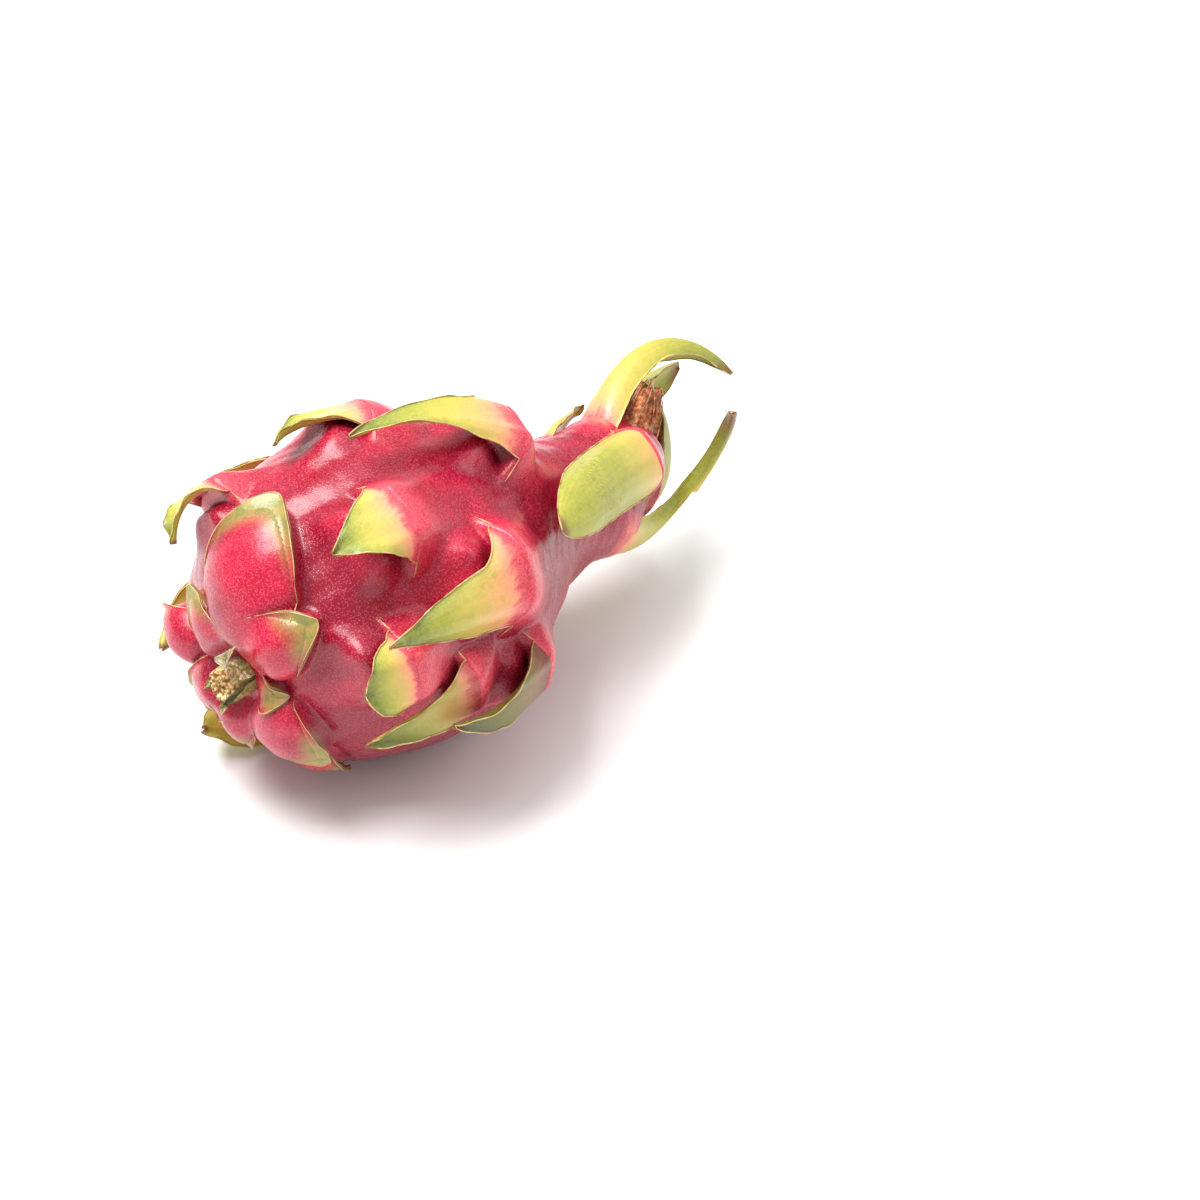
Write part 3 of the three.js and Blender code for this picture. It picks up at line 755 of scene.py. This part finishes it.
STUB_AT = np.array([STEM_X, -2.5, 47.0])
Sepal = namedtuple("Sepal", "name around length width rise tone")
SEPALS = [
    Sepal("stem_sepal_upper", 26, 27, 6.5, (90, 50, -20), 0.12),
    Sepal("stem_sepal_left", -100, 10, 5, (80, 85, 100), 0.55),
    Sepal("stem_sepal_right", 110, 12, 7, (88, 92, 80), 0.95),
    Sepal("stem_sepal_lower", 178, 10, 5, (80, 80, 55), 0.15),
]


def ragged(angle, depth, seed):
    """Uneven wave around a ring."""
    waves = [math.sin(seed * 1.7 + k * k) / k * np.sin(k * angle + seed * k) for k in (2, 3, 5, 8, 13)]
    return sum(waves) * depth


def pith_material():
    """Torn, fibrous flesh of the cut stalk."""
    m = Nodes("pith")
    place = m.coordinates()
    lumps = m.spots(0.0013, vector=place)
    clouds = m.math("MULTIPLY", m.noise(0.002, 4.0, vector=place), 0.6)
    tone = m.math("ADD", m.math("MULTIPLY", lumps, 0.6), clouds)
    shown = m.ramp(tone, [
        (0.3, colour(250, 240, 214)),
        (0.5, colour(240, 216, 162)),
        (0.62, colour(222, 168, 98)),
        (0.74, colour(158, 108, 58)),
        (0.9, colour(100, 84, 44)),
    ])
    shown = m.mix(m.attribute("green"), shown, colour(150, 152, 84))
    height = m.math("ADD", m.math("MULTIPLY", lumps, -0.7), m.noise(0.0006, 4.0, vector=place))
    return m.finish(Base_Color=shown, Roughness=0.75, Normal=m.bump(height, 0.0008, 0.8),
                    Subsurface_Weight=0.1, Subsurface_Scale=0.001)


def husk_material(name, stops):
    """Dry leaf tissue with fine lengthwise streaks; the attribute `tone` moves along the colours."""
    m = Nodes(name)
    place = m.coordinates()
    patch = m.noise(0.005, 4.0, 0.6, vector=place)
    fine = m.noise(0.0009, 3.0, vector=place)
    tone = m.math("ADD", m.attribute("tone"), m.remap(patch, 0.25, 0.75, -0.28, 0.28), clamp=True)
    shown = m.ramp(tone, stops)
    shown = m.mix(m.remap(fine, 0.5, 0.72, 0.0, 0.45), shown, colour(92, 62, 34))
    grains = m.spots(0.0014, vector=place)
    shown = m.mix(m.remap(grains, 0.35, 0.7, 0.0, 0.5), shown, colour(70, 44, 26))
    height = m.math("SUBTRACT", m.math("ADD", fine, m.math("MULTIPLY", patch, 0.8)), grains)
    return m.finish(Base_Color=shown, Roughness=0.68, Normal=m.bump(height, 0.0008, 0.8))


SEPAL_STOPS = [
    (0.0, colour(238, 222, 178)),
    (0.25, colour(196, 182, 118)),
    (0.5, colour(164, 160, 88)),
    (0.75, colour(104, 116, 52)),
    (1.0, colour(58, 74, 34)),
]
FLOWER_STOPS = [
    (0.0, colour(62, 38, 24)),
    (0.16, colour(128, 72, 40)),
    (0.34, colour(190, 108, 58)),
    (0.52, colour(222, 150, 96)),
    (0.74, colour(196, 164, 134)),
    (1.0, colour(232, 208, 172)),
]


def build_stub():
    """The stalk: rings along its side, then shrinking rings over its torn face."""
    sides = 72
    turns = np.linspace(0, 2 * math.pi, sides, endpoint=False)
    rings = []
    for s in np.linspace(0, 1, 10):
        radius = STUB_RADIUS * (1.12 - 0.2 * s) + ragged(turns, 0.45, 1.0 + 0.2 * s)
        radius = radius + 0.25 * np.cos(13 * turns)
        depth = -STUB_LENGTH * s + 1.5 + ragged(turns, 0.5, 4.0) * s
        rings.append((radius, depth))
    for inward in np.linspace(0.94, 0.04, 14):
        radius = rings[9][0] * inward
        wood = 0.9 * math.exp(-(((inward - 0.72) / 0.16) ** 2))
        grain = 0.3 * np.cos(13 * turns) * wood + 0.35 * np.sin(31 * inward + 5 * turns) * (1 - inward)
        depth = -STUB_LENGTH + 1.5 + 0.9 - wood - grain + ragged(turns, 0.5, 4.0) * inward
        rings.append((radius, depth))
    points = [
        STUB_AT + np.stack([depth, -radius * np.sin(turns), radius * np.cos(turns)], -1)
        for radius, depth in rings
    ]
    count = len(points) * sides
    middle = points[-1].mean(0)
    faces = grid_faces(len(points), sides, closed=True)
    faces += [(count - sides + (k + 1) % sides, count - sides + k, count) for k in range(sides)]
    faces.append(tuple(range(sides)))
    green = np.zeros(count + 1)
    green[:sides * 7] = 0.75
    points = np.vstack([*points, middle])
    make_piece("cut_stalk", points, faces, {"green": green}, pith_material(), "stem_stub")


def sheet(surface, thickness):
    """Points and faces of a closed sheet under a grid of points, thin at its edges."""
    rows, columns = surface.shape[:2]
    j = np.linspace(-1, 1, columns)
    half = thickness / 2 * (1 - 0.7 * np.abs(j) ** 4)[None, :, None]
    offset = surface_normals(surface, np.array([0.0, 0.0, 1.0])) * half
    points = np.vstack([(surface + offset).reshape(-1, 3), (surface - offset).reshape(-1, 3)])
    return points, sheet_faces(rows, columns)


def build_sepals():
    material = husk_material("sepal_husk", SEPAL_STOPS)
    axial = np.array([-1.0, 0.0, 0.0])
    for sepal in SEPALS:
        a = math.radians(sepal.around)
        radial = np.array([0.0, -math.sin(a), math.cos(a)])
        aside = np.cross(axial, radial)
        s = np.linspace(0, 1, 36)[:, None]
        j = np.linspace(-1, 1, 13)[None, :]
        forward, up, _ = spine(sepal, s)
        width = sepal.width / 2 * (1 - s**2.2) ** 0.8 * (1 + 0.12 * np.sin(11 * s + a)) + 0.15
        cup = 1.3 * j * j * (0.4 + s)
        ripple = 0.45 * np.sin(8 * s + 3 * j + a) * s
        swing = j * width + 0.9 * np.sin(4 * s + a) * s
        surface = (STUB_AT + radial * (STUB_RADIUS - 0.6 + forward + ripple)[..., None]
                   + axial * (up - 1.2 + cup)[..., None] + aside * swing[..., None])
        points, faces = sheet(surface, 0.6)
        edge = np.abs(np.broadcast_to(j, surface.shape[:2])) ** 3
        tone = np.clip(sepal.tone + 0.15 - 0.5 * edge, 0, 1).ravel()
        attributes = {"tone": np.concatenate([tone, tone * 0.9])}
        make_piece(sepal.name + "_strip", points, faces, attributes, material, sepal.name)

# ---------------------------------------------------------------- dried flower

FLOWER_AT = np.array([104.0, -2.5, 43.0])
FLOWER_TILT, FLOWER_RADIUS, FLOWER_LENGTH = math.radians(62), 8.6, 25.0
FILAMENTS = 80


def build_flower():
    axis = np.array([math.cos(FLOWER_TILT), 0.0, math.sin(FLOWER_TILT)])
    side = np.array([0.0, 1.0, 0.0])
    front = np.cross(side, axis)
    material = husk_material("dried_flower", FLOWER_STOPS)
    turns = np.linspace(0, 2 * math.pi, 90, endpoint=False)
    rings, tones = [], []
    stations = [(s, 1.0) for s in np.linspace(0, 1, 34)]
    stations += [(1.0 - 0.35 * (1 - f), f) for f in np.linspace(0.8, 0.1, 8)]
    for s, share in stations:
        ribs = 1 + 0.07 * np.cos(9 * turns + 2 * s) + 0.03 * np.cos(23 * turns)
        radius = FLOWER_RADIUS * (1 - 0.45 * s**1.6) * ribs
        radius = (radius + ragged(turns, 0.5, 2.0 + s)) * share
        rise = FLOWER_LENGTH * s + ragged(turns, 1.4, 7.0) * s * share
        rings.append(FLOWER_AT + axis * rise[:, None] + side * (radius * np.cos(turns))[:, None]
                     + front * (radius * np.sin(turns))[:, None])
        tones.append(np.full(len(turns), 0.2 + 0.38 * share * (0.7 + 0.3 * math.sin(5 * s))))
    count = len(rings) * len(turns)
    faces = grid_faces(len(rings), len(turns), closed=True)
    faces.append(tuple(range(len(turns)))[::-1])
    faces.append(tuple(range(count - len(turns), count)))
    attributes = {"tone": np.concatenate(tones)}
    make_piece("flower_core", np.vstack(rings), faces, attributes, material, "flower_remnant")
    random = np.random.default_rng(11)
    points, faces, tone = [], [], []
    for k in range(FILAMENTS):
        turn, start = random.uniform(0, 2 * math.pi), random.uniform(0, 0.75)
        end = min(start + random.uniform(0.2, 0.6), 1.12)
        s = np.linspace(start, end, 16)
        wobble = turn + 0.12 * np.sin(6 * s + 9 * turn) + random.uniform(-0.25, 0.25) * (s - start)
        reach = FLOWER_RADIUS * (1 - 0.45 * s**1.6) * (1 + 0.07 * np.cos(9 * wobble + 2 * s)) + 0.25
        reach = reach + np.maximum(s - 1, 0) * random.uniform(-25, 8)
        path = (FLOWER_AT + axis * (FLOWER_LENGTH * s)[:, None] + side * (reach * np.cos(wobble))[:, None]
                + front * (reach * np.sin(wobble))[:, None])
        radius = random.uniform(0.06, 0.2) * np.sin(math.pi * np.linspace(0.12, 0.95, 16)) + 0.06
        ring, quads = bead(path, radius, 6)
        faces += [tuple(i + len(points) for i in f) for f in quads]
        points.extend(ring)
        tone += [random.uniform(0.12, 0.72)] * len(ring)
    make_piece("flower_filaments", np.array(points), faces, {"tone": tone}, material, None)

# ---------------------------------------------------------------- floor, light, camera

def build_floor():
    mesh = bpy.data.meshes.new("floor")
    size = 3.0
    corners = [(-size, -size, 0), (size, -size, 0), (size, size, 0), (-size, size, 0)]
    mesh.from_pydata(corners, [], [(0, 1, 2, 3)])
    floor = bpy.data.objects.new("floor", mesh)
    bpy.context.scene.collection.objects.link(floor)
    m = Nodes("floor_paper")
    cloud = m.remap(m.noise(0.3, 2.0), 0.3, 0.7)
    tone = m.mix(cloud, (0.86, 0.86, 0.86, 1), (0.88, 0.88, 0.88, 1))
    mesh.materials.append(m.finish(Base_Color=tone, Roughness=0.8))


def area_light(name, place, target, size, power, tint=(1, 1, 1)):
    light = bpy.data.lights.new(name, "AREA")
    light.shape = "RECTANGLE"
    light.size, light.size_y = size
    light.energy = power
    light.color = tint
    made = bpy.data.objects.new(name, light)
    made.location = place
    made.rotation_euler = (Vector(target) - Vector(place)).to_track_quat("-Z", "Y").to_euler()
    bpy.context.scene.collection.objects.link(made)


VIEW_AZIMUTH, VIEW_ELEVATION = math.radians(-46.8), math.radians(36.0)
VIEW_DISTANCE = 0.88
VIEW_ASIDE, VIEW_ABOVE = 0.066, -0.0055   # how far the camera's axis passes right of and below the fruit


def view_axes():
    a, e = VIEW_AZIMUTH, VIEW_ELEVATION
    back = Vector((math.sin(a) * math.cos(e), -math.cos(a) * math.cos(e), math.sin(e)))
    right = Vector((math.cos(a), math.sin(a), 0.0))
    return right, back.cross(right), back


def build_camera():
    right, up, back = view_axes()
    data = bpy.data.cameras.new("camera")
    data.lens = 90
    data.sensor_width = 36
    camera = bpy.data.objects.new("camera", data)
    aim = Vector((SHIFT + np.array([0, 0, 50])) * MM) + right * VIEW_ASIDE + up * VIEW_ABOVE
    camera.location = aim + back * VIEW_DISTANCE
    camera.rotation_euler = Matrix((right, up, back)).transposed().to_euler()
    bpy.context.scene.collection.objects.link(camera)
    bpy.context.scene.camera = camera


def build_light():
    right, up, back = view_axes()
    centre = Vector((0, 0, 0.05))
    area_light("key", centre + (-right * 0.4 + up * 0.8 + back * 0.6), centre, (0.8, 0.55), 18)
    area_light("fill", centre + (right * 0.9 + up * 0.5 + back * 0.5), centre, (0.6, 0.6), 2.5)
    area_light("top", centre + Vector((0.1, 0.15, 1.1)), centre, (1.2, 1.2), 5)
    world = bpy.data.worlds.new("studio")
    bpy.context.scene.world = world
    world.use_nodes = True
    background = world.node_tree.nodes["Background"]
    background.inputs["Color"].default_value = (1, 1, 1, 1)
    background.inputs["Strength"].default_value = 0.58


bpy.context.scene.view_settings.view_transform = "Standard"
build_skin()
for row in BRACTS:
    build_bract(row)
build_stub()
build_sepals()
build_flower()
build_floor()
build_light()
build_camera()
